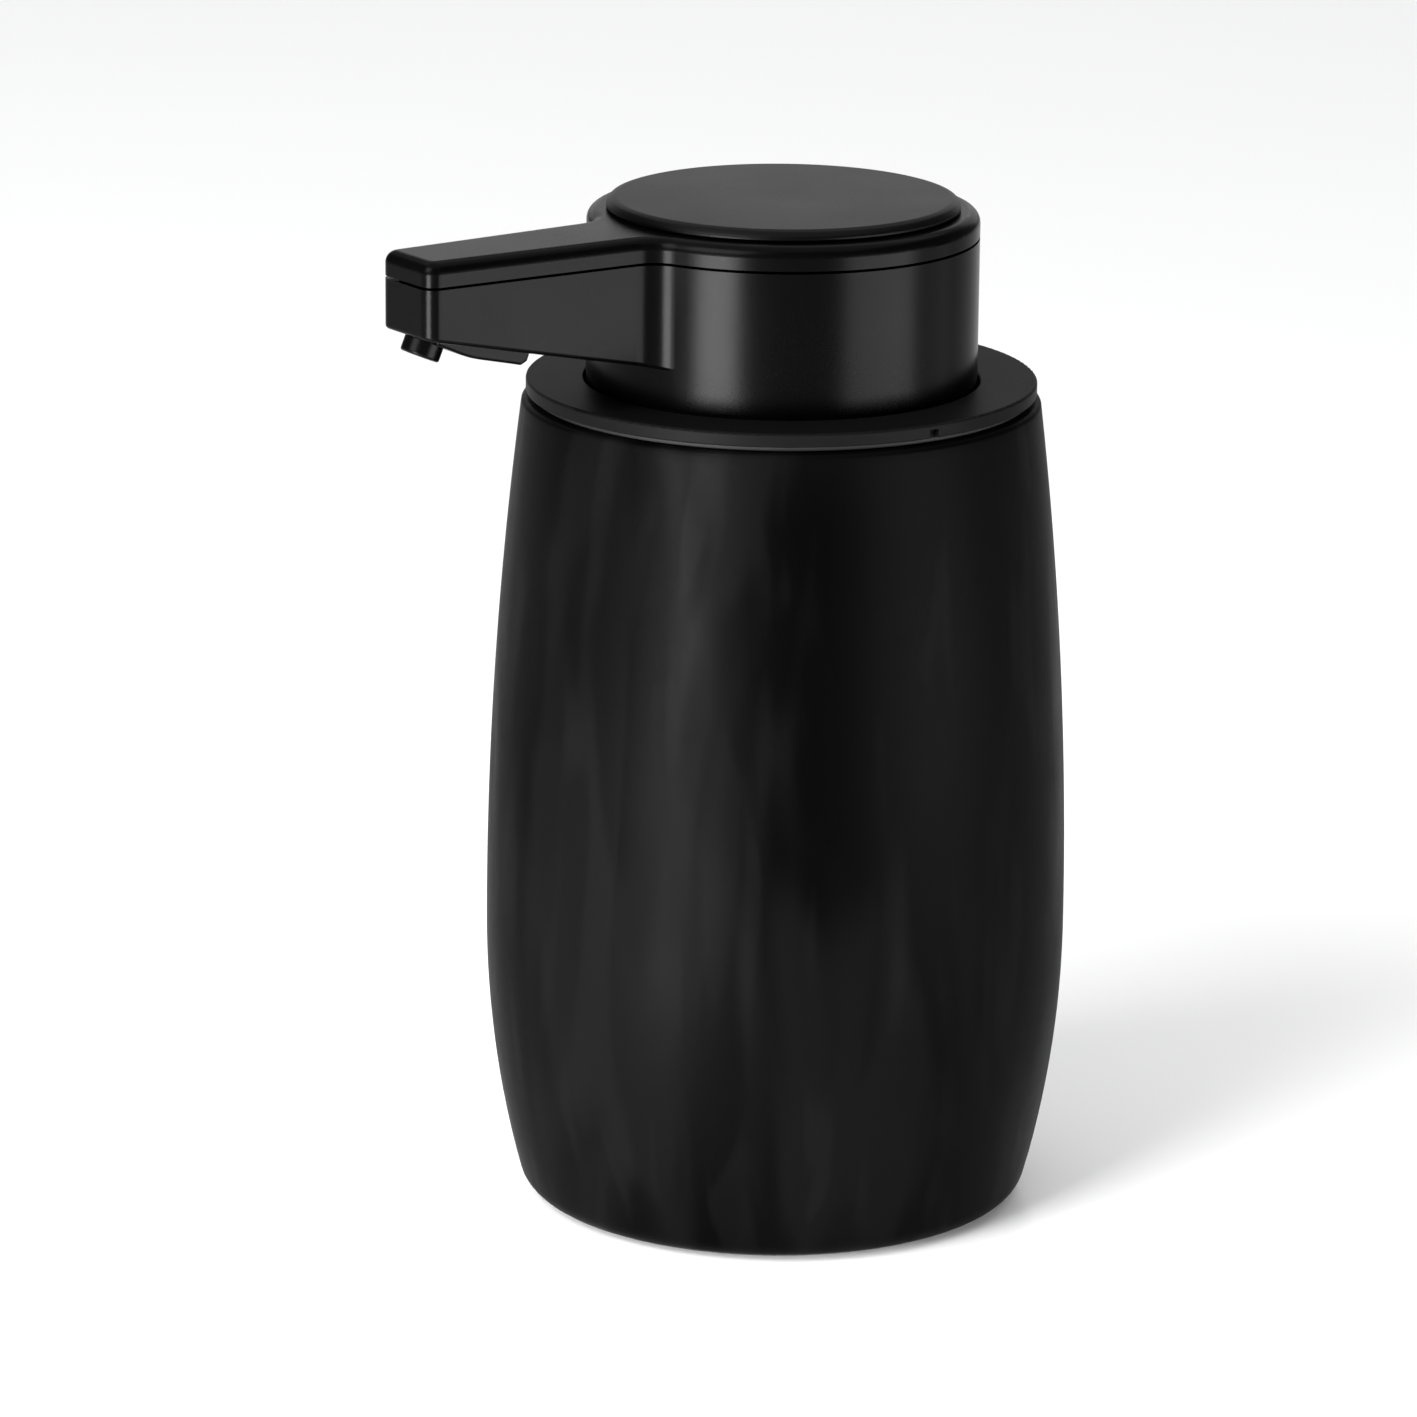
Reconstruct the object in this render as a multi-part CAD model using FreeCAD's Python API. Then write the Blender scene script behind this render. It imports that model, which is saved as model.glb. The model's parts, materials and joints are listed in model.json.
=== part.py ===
"""Press-top soap dispenser: a barrel bottle, a lift-off pump top and a palm-sized head with a spout.

Millimetres, +Z up, origin at the centre of the base. The spout points along -Y.
"""

import math
import os

import FreeCAD
import Part

V = FreeCAD.Vector
UP = V(0, 0, 1)
AXIS = V(0, 0, 0)

# ---- Bottle -------------------------------------------------------------------------------
BOTTLE_R = 42.0            # widest outside radius
BOTTLE_WIDEST_Z = 41.0
BASE_R = 32.8              # radius of the flat underside
BASE_FILLET = 4.5
BELLY_RADIUS = 147.0       # arc of the wall below the widest level
SHOULDER_RADIUS = 610.0    # arc of the wall above the widest level
RIM_Z = 118.5
LIP_ROUND = 0.9
BOTTLE_WALL = 3.0
BOTTLE_FLOOR = 4.0
MOUTH_R = 33.0
MOUTH_DEPTH = 11.5
PAD_R = 30.0               # anti-slip disc let into the underside
PAD_THICK = 1.2
PAD_PROUD = 0.4

# ---- Collar and its well --------------------------------------------------------------------
COLLAR_R = 36.5
COLLAR_TOP = 121.3
COLLAR_THICK = 2.0
WELL_R = 28.3              # hole that the head drops into
WELL_WALL = 2.3
WELL_FLOOR_TOP = 110.4
WELL_FLOOR = 1.8
NOTCH_WIDE, NOTCH_HIGH, NOTCH_DEEP = 1.6, 1.3, 1.1

# ---- Pump -----------------------------------------------------------------------------------
BORE_R = 9.0
CYLINDER_R = 10.6
FLANGE_R = 14.0
GASKET = 0.8
FLANGE_THICK = 1.4
BORE_FLOOR = 91.5
SEAT_SLOPE = 0.8           # valve seats widen by this much for each millimetre of height
INLET_SEAT_R, INLET_SEAT_Z = 2.2, 85.0
INLET_BALL_R = 3.0
TUBE_R, TUBE_BORE = 2.9, 2.0
TUBE_TOP, TUBE_FOOT = 84.0, 7.0
STEM_R, STEM_BORE = 4.0, 2.0
STEM_FOOT, STEM_TOP = 101.5, 133.0
OUTLET_SEAT_Z = 127.0
OUTLET_BALL_R = 2.6
OUTLET_CHAMBER_R = 3.2
GUIDE_TOP = 115.2
RUN = 0.05                 # running clearance on the radius

# ---- Head -----------------------------------------------------------------------------------
HEAD_R = 27.95
HEAD_FOOT = 117.5
SEAM_Z = 142.05
SEAM_GAP = 0.4
COVER_TOP = 145.7
COVER_ROUND = 1.7
WALL = 1.8
PRESS_R = 25.2
PRESS_TOP = 147.4
PRESS_ROUND = 0.95
DECK_Z, DECK_THICK = 132.0, 1.8
HUB_R, HUB_FOOT = 6.8, 123.5
SPOUT_TIP_Y = -63.8
SPOUT_TIP_HALF = 6.2
SPOUT_ROOT_Y = -28.0
SPOUT_ROOT_HALF = 7.5
SPOUT_CORNER = 2.1
SPOUT_BLEND = 5.0          # concave radius where the spout leaves the round wall
SPOUT_FOOT_TIP = 134.85    # underside at the tip and at the root
SPOUT_FOOT_ROOT = 127.25
SPOUT_FOOT_ROUND = 0.6
SPOUT_FLOOR = 1.6          # thickness of the underside
RIB_COUNT, RIB_WIDE, RIB_HIGH, RIB_START = 8, 1.2, 2.4, 10.6
ELBOW_RECESS_R = 5.65
BOSS_R = 3.0
PEG_COUNT, PEG_RING_R, PEG_R = 4, 14.0, 1.5
PEG_ROOM = 0.05
TUBE_LINE_Z = 139.0
SOFT_TUBE_R, SOFT_TUBE_BORE = 3.1, 2.15
SPIGOT_R = 2.1
NOZZLE_R, NOZZLE_BORE = 2.8, 1.5
NOZZLE_LEAN = 24.0         # degrees forward of straight down
NOZZLE_EXIT = V(0, -61.4, 131.5)
CAP_HALF = 4.0             # the cap under the spout, round and behind the nozzle
CAP_FRONT_Y, CAP_REAR_Y = -60.9, -45.6
CAP_STEP = 0.6             # depth of the cap's front edge
CAP_CROWN = ((-58.2, 132.4), (-55.6, 131.3), (-52.6, 130.5), (-49.6, 129.8), (-47.1, 129.2))
CAP_SLOT_HALF, CAP_SLOT_FRONT, CAP_SLOT_BACK = 3.3, -55.6, -46.9
SCREW_RING_R = 19.0
SCREW_ANGLES = (90.0, 210.0, 330.0)
SCREW_R, SCREW_HEAD_R, SCREW_HEAD_HIGH = 1.25, 2.6, 1.7

COLLAR_FOOT = COLLAR_TOP - COLLAR_THICK
FLANGE_FOOT = WELL_FLOOR_TOP + GASKET
FLANGE_TOP = FLANGE_FOOT + FLANGE_THICK
COVER_FOOT = SEAM_Z + SEAM_GAP / 2
HOUSING_TOP = SEAM_Z - SEAM_GAP / 2


# ---- Shape helpers --------------------------------------------------------------------------
def cylinder(radius, low, high, at=(0.0, 0.0)):
    """Upright solid cylinder between two heights."""
    return Part.makeCylinder(radius, high - low, V(at[0], at[1], low), UP)


def ring(outer, inner, low, high):
    """Upright tube between two heights."""
    return cylinder(outer, low, high).cut(cylinder(inner, low - 1, high + 1))


def turned(points):
    """Solid turned about Z from a closed outline of (radius, height) points."""
    wire = Part.makePolygon([V(r, 0, z) for r, z in points + points[:1]])
    return Part.Face(wire).revolve(AXIS, UP, 360)


def rounded(shape, radius, wanted):
    """The shape with a fillet on each edge that wanted(edge) picks."""
    return shape.makeFillet(radius, [e for e in shape.Edges if wanted(e)])


def at_height(z, tolerance=1e-4):
    """Picks edges that lie wholly at one height."""
    return lambda e: abs(e.BoundBox.ZMin - z) < tolerance and abs(e.BoundBox.ZMax - z) < tolerance


def circle_at(z, radius):
    """Picks full circles of one radius at one height."""
    flat = at_height(z)
    return lambda e: flat(e) and abs(e.BoundBox.XMax - radius) < 1e-3


def ball_height(seat_r, seat_z, ball_r):
    """Centre height of a ball that rests, with a hair of room, in a valve seat."""
    half_angle = math.atan(SEAT_SLOPE)
    apex = seat_z - seat_r / SEAT_SLOPE
    return apex + ball_r / math.sin(half_angle) + 0.06


# ---- Bottle ---------------------------------------------------------------------------------
def wall_radius(z):
    """Outside radius of the bottle wall at a height."""
    bend = SHOULDER_RADIUS if z > BOTTLE_WIDEST_Z else BELLY_RADIUS
    return BOTTLE_R - bend + math.sqrt(bend ** 2 - (z - BOTTLE_WIDEST_Z) ** 2)


def wall_arc(inset, low, high):
    """Arc of the bottle wall, moved inwards, between two heights on one side of the widest level."""
    heights = (low, (low + high) / 2, high)
    return Part.Arc(*[V(wall_radius(z) - inset, 0, z) for z in heights]).toShape()


def line(r0, z0, r1, z1):
    """Straight edge in the turning plane."""
    return Part.makeLine(V(r0, 0, z0), V(r1, 0, z1))


def bottle():
    """Hollow barrel with a wide mouth and a recess for the anti-slip disc."""
    foot = PAD_PROUD
    outside = [
        line(0, foot, wall_radius(foot), foot),
        wall_arc(0, foot, BOTTLE_WIDEST_Z),
        wall_arc(0, BOTTLE_WIDEST_Z, RIM_Z),
        line(wall_radius(RIM_Z), RIM_Z, 0, RIM_Z),
        line(0, RIM_Z, 0, foot),
    ]
    shell = Part.Face(Part.Wire(outside)).revolve(AXIS, UP, 360)
    shell = rounded(shell, BASE_FILLET, circle_at(foot, wall_radius(foot)))
    shell = rounded(shell, LIP_ROUND, circle_at(RIM_Z, wall_radius(RIM_Z)))
    floor, neck = foot + BOTTLE_FLOOR, RIM_Z - MOUTH_DEPTH
    under_neck = neck - 4.0
    inside = [
        line(0, floor, wall_radius(floor) - BOTTLE_WALL, floor),
        wall_arc(BOTTLE_WALL, floor, BOTTLE_WIDEST_Z),
        wall_arc(BOTTLE_WALL, BOTTLE_WIDEST_Z, under_neck),
        line(wall_radius(under_neck) - BOTTLE_WALL, under_neck, MOUTH_R, neck),
        line(MOUTH_R, neck, 0, neck),
        line(0, neck, 0, floor),
    ]
    hollow = Part.Face(Part.Wire(inside)).revolve(AXIS, UP, 360)
    hollow = rounded(hollow, BASE_FILLET, circle_at(floor, wall_radius(floor) - BOTTLE_WALL))
    mouth = cylinder(MOUTH_R, neck - 0.01, RIM_Z + 1)
    recess = cylinder(PAD_R + 0.02, foot - 1, PAD_THICK)
    shell = shell.cut(hollow).cut(mouth).cut(recess)
    return rounded(shell, 0.8, circle_at(RIM_Z, MOUTH_R))


def base_pad():
    """Anti-slip disc under the bottle."""
    return rounded(cylinder(PAD_R, 0, PAD_THICK), 0.3, circle_at(0, PAD_R))


# ---- Pump top -------------------------------------------------------------------------------
def collar():
    """Flat collar with a well for the head, a plug wall and a vent notch in its edge."""
    plug_r = WELL_R + WELL_WALL
    floor_foot = WELL_FLOOR_TOP - WELL_FLOOR
    body = cylinder(COLLAR_R, COLLAR_FOOT, COLLAR_TOP)
    body = rounded(body, 0.35, circle_at(COLLAR_TOP, COLLAR_R))
    body = rounded(body, 0.25, circle_at(COLLAR_FOOT, COLLAR_R))
    body = body.fuse(cylinder(plug_r, floor_foot, COLLAR_FOOT + 0.5))
    body = body.cut(cylinder(WELL_R, WELL_FLOOR_TOP, COLLAR_TOP + 1)).removeSplitter()
    body = body.cut(cylinder(CYLINDER_R + 0.1, floor_foot - 1, WELL_FLOOR_TOP + 1))
    body = rounded(body, 0.3, circle_at(COLLAR_TOP, WELL_R))
    notch = Part.makeBox(NOTCH_DEEP + 1, NOTCH_WIDE, NOTCH_HIGH + 1,
                         V(COLLAR_R - NOTCH_DEEP, -NOTCH_WIDE / 2, COLLAR_FOOT - 1))
    body = body.cut(notch)
    for turn in range(4):
        rib = Part.makeBox(WELL_R - FLANGE_R - 2.0, 1.2, 2.2,
                           V(FLANGE_R + 1.5, -0.6, floor_foot - 2.2))
        rib.rotate(AXIS, UP, 45 + 90 * turn)
        body = body.fuse(rib)
    return body.removeSplitter()


def mouth_seal():
    """Elastic ring that grips the bottle mouth: a flange under the collar and three fins."""
    root_in, root_out, fin_r = WELL_R + WELL_WALL + RUN, 31.9, MOUTH_R - RUN
    seal = ring(root_out, root_in, 109.4, COLLAR_FOOT - 0.05)
    flange = ring(COLLAR_R - 1.0, root_in, RIM_Z + 0.05, COLLAR_FOOT - 0.05)
    seal = seal.fuse(flange)
    for low in (110.2, 112.7, 115.2):
        seal = seal.fuse(turned([(root_in + 0.1, low), (fin_r, low + 0.5), (fin_r, low + 0.9),
                                 (root_in + 0.1, low + 1.4)]))
    return seal.removeSplitter()


def cylinder_gasket():
    """Flat washer between the cylinder flange and the floor of the well."""
    return ring(FLANGE_R, CYLINDER_R + 0.1, WELL_FLOOR_TOP, FLANGE_FOOT)


def pump_cylinder():
    """Pump cylinder: flange, bore, inlet seat and the socket for the dip tube."""
    seat_top_r = 3.6
    seat_top = INLET_SEAT_Z + (seat_top_r - INLET_SEAT_R) / SEAT_SLOPE
    socket_foot = 77.0
    return turned([
        (4.6, socket_foot), (4.6, 84.0), (6.4, 85.5), (6.4, 88.5), (CYLINDER_R, 90.5),
        (CYLINDER_R, FLANGE_FOOT), (FLANGE_R, FLANGE_FOOT), (FLANGE_R, FLANGE_TOP),
        (BORE_R, FLANGE_TOP), (BORE_R, BORE_FLOOR), (4.6, BORE_FLOOR), (4.6, 88.4), (seat_top_r, 88.4),
        (seat_top_r, seat_top), (INLET_SEAT_R, INLET_SEAT_Z), (INLET_SEAT_R, TUBE_TOP),
        (TUBE_R + 0.02, TUBE_TOP), (TUBE_R + 0.02, socket_foot),
    ])


def retaining_nut():
    """Ring nut that clamps the cylinder under the floor of the well, with six grip lugs."""
    top = WELL_FLOOR_TOP - WELL_FLOOR
    nut = ring(13.2, CYLINDER_R + RUN, top - 5.0, top - 0.02)
    nut = rounded(nut, 0.5, circle_at(top - 5.0, 13.2))
    for turn in range(6):
        lug = Part.makeBox(1.6, 3.0, 4.0, V(12.9, -1.5, top - 5.0))
        lug.rotate(AXIS, UP, 60 * turn)
        nut = nut.fuse(lug)
    return nut.removeSplitter()


def stem_guide():
    """Cap that snaps into the top of the cylinder and guides the stem; the spring stands on it."""
    guide = turned([
        (STEM_R + RUN, 109.0), (8.9, 109.0), (8.9, FLANGE_TOP), (12.4, FLANGE_TOP),
        (12.4, GUIDE_TOP - 1.2), (11.4, GUIDE_TOP), (5.6, GUIDE_TOP), (5.6, 113.2),
        (STEM_R + RUN, 113.2),
    ])
    spring_seat = ring(9.0, 6.9, GUIDE_TOP - 0.6, GUIDE_TOP + 1)
    return guide.cut(spring_seat)


def stem_wiper():
    """Lip seal round the stem at the top of the guide."""
    return turned([(STEM_R + RUN, 113.3), (5.55, 113.3), (5.55, 114.9), (4.9, 114.9),
                   (4.6, 114.1), (STEM_R + RUN, 114.9)])


def inlet_ball():
    """Steel ball of the inlet valve, on its seat."""
    centre = ball_height(INLET_SEAT_R, INLET_SEAT_Z, INLET_BALL_R)
    return Part.makeSphere(INLET_BALL_R, V(0, 0, centre))


def inlet_ball_cage():
    """Slotted cap that keeps the inlet ball near its seat."""
    low, roof, top = 88.5, 92.2, 93.1
    cage = ring(4.55, 3.7, low, roof).fuse(cylinder(4.55, roof, top)).removeSplitter()
    cage = cage.cut(cylinder(1.2, roof - 1, top + 1))
    for turn in range(3):
        slot = Part.makeBox(3.6, 1.4, 3.2, V(1.6, -0.7, 90.4))
        slot.rotate(AXIS, UP, 120 * turn)
        cage = cage.cut(slot)
    return cage


def dip_tube():
    """Tube down to the bottle floor, its foot cut at a slant."""
    tube = ring(TUBE_R, TUBE_BORE, TUBE_FOOT, TUBE_TOP)
    slant = Part.makeBox(20, 20, 10, V(-10, -10, -10))
    slant.rotate(AXIS, V(1, 0, 0), 30)
    slant.translate(V(0, 0, TUBE_FOOT + 1.7))
    return tube.cut(slant)


def return_spring():
    """Helical spring round the stem, between the guide and the deck of the head."""
    wire_r, mean_r = 0.5, 8.0
    low, high = GUIDE_TOP - 0.6 + wire_r, DECK_Z - wire_r - 0.05
    turns = 6
    helix = Part.makeHelix((high - low) / turns, high - low, mean_r)
    start = Part.Wire([Part.makeCircle(wire_r, V(mean_r, 0, 0), V(0, 1, 0))])
    coil = Part.Wire(helix.Edges).makePipeShell([start], True, True)
    coil.translate(V(0, 0, low))
    return Part.Solid(Part.Shell(coil.Faces))


# ---- Stem -----------------------------------------------------------------------------------
def stem():
    """Hollow stem: foot under the piston, stop above it, shoulder for the hub, outlet seat."""
    seat_top = OUTLET_SEAT_Z + (OUTLET_CHAMBER_R - STEM_BORE) / SEAT_SLOPE
    return turned([
        (STEM_BORE, STEM_FOOT), (6.5, STEM_FOOT), (6.5, 103.0), (STEM_R, 103.0), (STEM_R, 107.6),
        (5.2, 107.6), (5.2, 108.6), (STEM_R, 108.6), (STEM_R, 121.6), (6.2, 121.6), (6.2, 123.4),
        (STEM_R, 123.4), (STEM_R, STEM_TOP), (OUTLET_CHAMBER_R, STEM_TOP), (OUTLET_CHAMBER_R, seat_top),
        (STEM_BORE, OUTLET_SEAT_Z),
    ])


def piston():
    """Soft piston with a lip at each end."""
    wall, lip = 8.3, BORE_R - RUN
    return turned([
        (STEM_R + 0.02, 103.05), (7.4, 103.05), (lip, 103.1), (lip, 103.7), (wall, 104.6),
        (wall, 106.0), (lip, 106.9), (lip, 107.5), (7.4, 107.5), (7.0, 105.8), (5.4, 105.8),
        (5.4, 107.5), (STEM_R + 0.02, 107.5),
    ])


def outlet_ball():
    """Steel ball of the outlet valve, in the top of the stem."""
    centre = ball_height(STEM_BORE, OUTLET_SEAT_Z, OUTLET_BALL_R)
    return Part.makeSphere(OUTLET_BALL_R, V(0, 0, centre))


# ---- Head -----------------------------------------------------------------------------------
def plan(inset, low, high):
    """The head's outline seen from above, moved inwards and raised: a disc that runs into the spout."""
    radius, blend = HEAD_R - inset, SPOUT_BLEND + inset
    corner = max(SPOUT_CORNER - inset, 0.2)
    slope = math.atan2(SPOUT_ROOT_HALF - SPOUT_TIP_HALF, SPOUT_ROOT_Y - SPOUT_TIP_Y)
    along, out = V(math.sin(slope), math.cos(slope), 0), V(math.cos(slope), -math.sin(slope), 0)
    tip = V(SPOUT_TIP_HALF, SPOUT_TIP_Y, 0) - out * inset
    tip_y = SPOUT_TIP_Y + inset
    # The blend circle touches the disc from outside and the spout's side from outside.
    foot = tip + out * blend
    reach = -foot.dot(along) - math.sqrt((radius + blend) ** 2 - foot.dot(out) ** 2)
    centre = foot + along * reach
    on_disc, on_side = centre * (radius / (radius + blend)), centre - out * blend
    to_disc, to_side = (on_disc - centre).normalize(), (on_side - centre).normalize()
    on_blend = centre + (to_disc + to_side).normalize() * blend
    # The corner circle touches the side and the end face.
    corner_y = tip_y + corner
    start = tip - out * corner
    corner_at = start + along * ((corner_y - start.y) / along.y)
    side_end, face_end = corner_at + out * corner, V(corner_at.x, tip_y, 0)
    on_corner = corner_at + V(math.cos(math.radians(-45)), math.sin(math.radians(-45)), 0) * corner

    def mirrored(p):
        return V(-p.x, p.y, 0)

    half = [on_disc, on_blend, on_side, side_end, on_corner, face_end]
    other = [mirrored(p) for p in half]
    edges = [Part.Arc(other[0], V(0, radius, 0), half[0])]
    for side in (half, other):
        edges += [Part.Arc(side[0], side[1], side[2]), Part.LineSegment(side[2], side[3]),
                  Part.Arc(side[3], side[4], side[5])]
    edges.append(Part.LineSegment(half[5], other[5]))
    wire = Part.Wire(Part.__sortEdges__([e.toShape() for e in edges]))
    face = Part.Face(wire)
    face.translate(V(0, 0, low))
    return face.extrude(V(0, 0, high - low))


def spout_foot(y):
    """Height of the spout's underside."""
    share = (y - SPOUT_TIP_Y) / (SPOUT_ROOT_Y - SPOUT_TIP_Y)
    return SPOUT_FOOT_TIP + share * (SPOUT_FOOT_ROOT - SPOUT_FOOT_TIP)


def above_spout_foot(raised, top):
    """Everything over the spout's sloping underside, raised by a wall."""
    near, far = -15.0, SPOUT_TIP_Y - 6
    points = [V(-40, far, spout_foot(far) + raised), V(-40, near, spout_foot(near) + raised),
              V(-40, near, top), V(-40, far, top)]
    return Part.Face(Part.makePolygon(points + points[:1])).extrude(V(80, 0, 0))


def on_spout_foot(edge):
    """Whether an edge lies on the spout's sloping underside."""
    return all(abs(v.Z - spout_foot(v.Y)) < 1e-3 for v in edge.Vertexes)


def nozzle_axis():
    """Unit vector along the nozzle, out of its mouth."""
    lean = math.radians(NOZZLE_LEAN)
    return V(0, -math.sin(lean), -math.cos(lean))


def nozzle_rod(radius, before, after=0.0):
    """Rod on the nozzle's axis, from before the mouth to after it."""
    return Part.makeCylinder(radius, before + after, NOZZLE_EXIT - nozzle_axis() * before, nozzle_axis())


def nozzle_root():
    """Distance from the mouth back to the level of the soap tube."""
    return (TUBE_LINE_Z - NOZZLE_EXIT.z) / math.cos(math.radians(NOZZLE_LEAN))


def screw_places():
    """Plan positions of the cover screws."""
    return [(SCREW_RING_R * math.cos(math.radians(a)), SCREW_RING_R * math.sin(math.radians(a)))
            for a in SCREW_ANGLES]


def head_housing():
    """Lower shell of the head: skirt, spout trough, deck and hub."""
    top = HOUSING_TOP
    spout = plan(0, 120.0, top).common(above_spout_foot(0, top))
    spout = rounded(spout, SPOUT_FOOT_ROUND, lambda e: e.BoundBox.YMax < -20 and on_spout_foot(e))
    body = cylinder(HEAD_R, HEAD_FOOT, top).fuse(spout).removeSplitter()
    body = rounded(body, 0.5, circle_at(HEAD_FOOT, HEAD_R))
    trough = plan(WALL, 120.0, top + 1).common(above_spout_foot(SPOUT_FLOOR, top + 1))
    body = body.cut(cylinder(HEAD_R - WALL, HEAD_FOOT - 1, top + 1)).cut(trough)
    deck = cylinder(HEAD_R - WALL + 0.3, DECK_Z, DECK_Z + DECK_THICK)
    hub = cylinder(HUB_R, HUB_FOOT, DECK_Z + 0.5)
    body = body.fuse(deck).fuse(hub).removeSplitter()
    body = body.cut(cylinder(STEM_R + RUN, HUB_FOOT - 1, DECK_Z + DECK_THICK + 1))
    body = body.cut(cylinder(ELBOW_RECESS_R, 131.3, DECK_Z + DECK_THICK + 1))
    for turn in range(RIB_COUNT):
        rib = Part.makeBox(HEAD_R - WALL - RIB_START + 0.1, RIB_WIDE, RIB_HIGH,
                           V(RIB_START, -RIB_WIDE / 2, DECK_Z - RIB_HIGH))
        rib.rotate(AXIS, UP, turn * 360 / RIB_COUNT)
        body = body.fuse(rib)
    for x, y in screw_places():
        body = body.cut(cylinder(SCREW_HEAD_R + 0.6, DECK_Z - 4, DECK_Z, (x, y)))
        body = body.cut(cylinder(SCREW_R + 0.25, DECK_Z - 1, DECK_Z + DECK_THICK + 1, (x, y)))
    body = body.cut(nozzle_rod(NOZZLE_R + RUN, nozzle_root() + 1, 4))
    slot = Part.makeBox(2 * CAP_SLOT_HALF, CAP_SLOT_BACK - CAP_SLOT_FRONT, 20,
                        V(-CAP_SLOT_HALF, CAP_SLOT_FRONT, 120))
    return body.cut(slot).removeSplitter()


def top_cover():
    """Upper shell of the head with the roof of the spout, a locating lip and three screw bosses."""
    cover = plan(0, COVER_FOOT, COVER_TOP)
    cover = rounded(cover, COVER_ROUND, at_height(COVER_TOP))
    cover = cover.cut(plan(WALL, COVER_FOOT - 1, COVER_TOP - WALL))
    lip = plan(WALL + 0.1, COVER_FOOT - 1.6, COVER_FOOT).fuse(plan(WALL - 0.3, COVER_FOOT, COVER_FOOT + 1))
    cover = cover.fuse(lip.cut(plan(WALL + 1.1, COVER_FOOT - 2, COVER_TOP - WALL)))
    for x, y in screw_places():
        boss = cylinder(BOSS_R, DECK_Z + DECK_THICK + 0.02, COVER_TOP - WALL + 0.3, (x, y))
        cover = cover.fuse(boss)
    cover = cover.removeSplitter()
    for x, y in screw_places():
        cover = cover.cut(cylinder(SCREW_R + 0.02, DECK_Z, COVER_TOP - WALL - 1.0, (x, y)))
    for turn in range(PEG_COUNT):
        x, y = peg_place(turn)
        cover = cover.cut(cylinder(PEG_R + PEG_ROOM, COVER_TOP - WALL - 1, COVER_TOP + 1, (x, y)))
    return cover.removeSplitter()


def peg_place(turn):
    """Plan position of one of the press pad's pegs."""
    angle = math.radians(45 + turn * 360 / PEG_COUNT)
    return PEG_RING_R * math.cos(angle), PEG_RING_R * math.sin(angle)


def press_pad():
    """Raised disc that the palm presses, held by four pegs."""
    pad = cylinder(PRESS_R, COVER_TOP + 0.02, PRESS_TOP)
    pad = rounded(pad, PRESS_ROUND, circle_at(PRESS_TOP, PRESS_R))
    pad = rounded(pad, 0.2, circle_at(COVER_TOP + 0.02, PRESS_R))
    for turn in range(PEG_COUNT):
        pad = pad.fuse(cylinder(PEG_R, COVER_TOP - WALL - 0.4, COVER_TOP + 0.5, peg_place(turn)))
    return pad.removeSplitter()


def outlet_elbow():
    """Elbow on the deck that turns the soap from the stem into the spout tube."""
    foot = DECK_Z + DECK_THICK + 0.02
    body = cylinder(6.4, foot, foot + 1.4).fuse(cylinder(4.6, foot, TUBE_LINE_Z + 3.0))
    body = rounded(body.removeSplitter(), 0.8, circle_at(TUBE_LINE_Z + 3.0, 4.6))
    spigot = Part.makeCylinder(SPIGOT_R, 12.0, V(0, 0, TUBE_LINE_Z), V(0, -1, 0))
    stop = cylinder(OUTLET_CHAMBER_R - 0.1, STEM_TOP - 0.3, foot + 0.5)
    body = body.fuse(spigot).fuse(stop).removeSplitter()
    body = body.cut(cylinder(1.8, STEM_TOP - 1, TUBE_LINE_Z + 0.5))
    return body.cut(Part.makeCylinder(1.3, 14.0, V(0, 0, TUBE_LINE_Z), V(0, -1, 0)))


def stem_seal():
    """O-ring between the stem and the hub, which lets the head turn on the stem."""
    return Part.makeTorus(4.85, 0.75, V(0, 0, 132.2), UP)


def spout_tube():
    """Soft tube along the spout, from the elbow to the nozzle."""
    start, length = V(0, -6.0, TUBE_LINE_Z), 48.0
    outer = Part.makeCylinder(SOFT_TUBE_R, length, start, V(0, -1, 0))
    return outer.cut(Part.makeCylinder(SOFT_TUBE_BORE, length, start, V(0, -1, 0)))


def nozzle():
    """Forward-leaning nozzle with a spigot for the tube and a seat for the drip valve."""
    back = nozzle_root()
    spigot_at = V(0, -50.0, TUBE_LINE_Z)
    length = -NOZZLE_EXIT.y - 50.0 - back * math.sin(math.radians(NOZZLE_LEAN))
    body = nozzle_rod(NOZZLE_R, back)
    mouth = [e for e in body.Edges if abs(e.CenterOfMass.distanceToPoint(NOZZLE_EXIT)) < 0.01]
    body = body.makeFillet(0.35, mouth)
    body = body.fuse(Part.makeCylinder(SPIGOT_R, length, spigot_at, V(0, -1, 0)))
    body = body.fuse(Part.makeSphere(NOZZLE_R, NOZZLE_EXIT - nozzle_axis() * back)).removeSplitter()
    body = body.cut(nozzle_rod(NOZZLE_BORE, back, 1)).cut(nozzle_rod(2.2, 2.4, 1))
    return body.cut(Part.makeCylinder(1.3, length, spigot_at, V(0, -1, 0)))


def drip_valve():
    """Soft insert in the nozzle's mouth that stops drips."""
    body = nozzle_rod(2.15, 2.35, -0.35)
    return body.cut(nozzle_rod(0.8, 4, 1))


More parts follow.
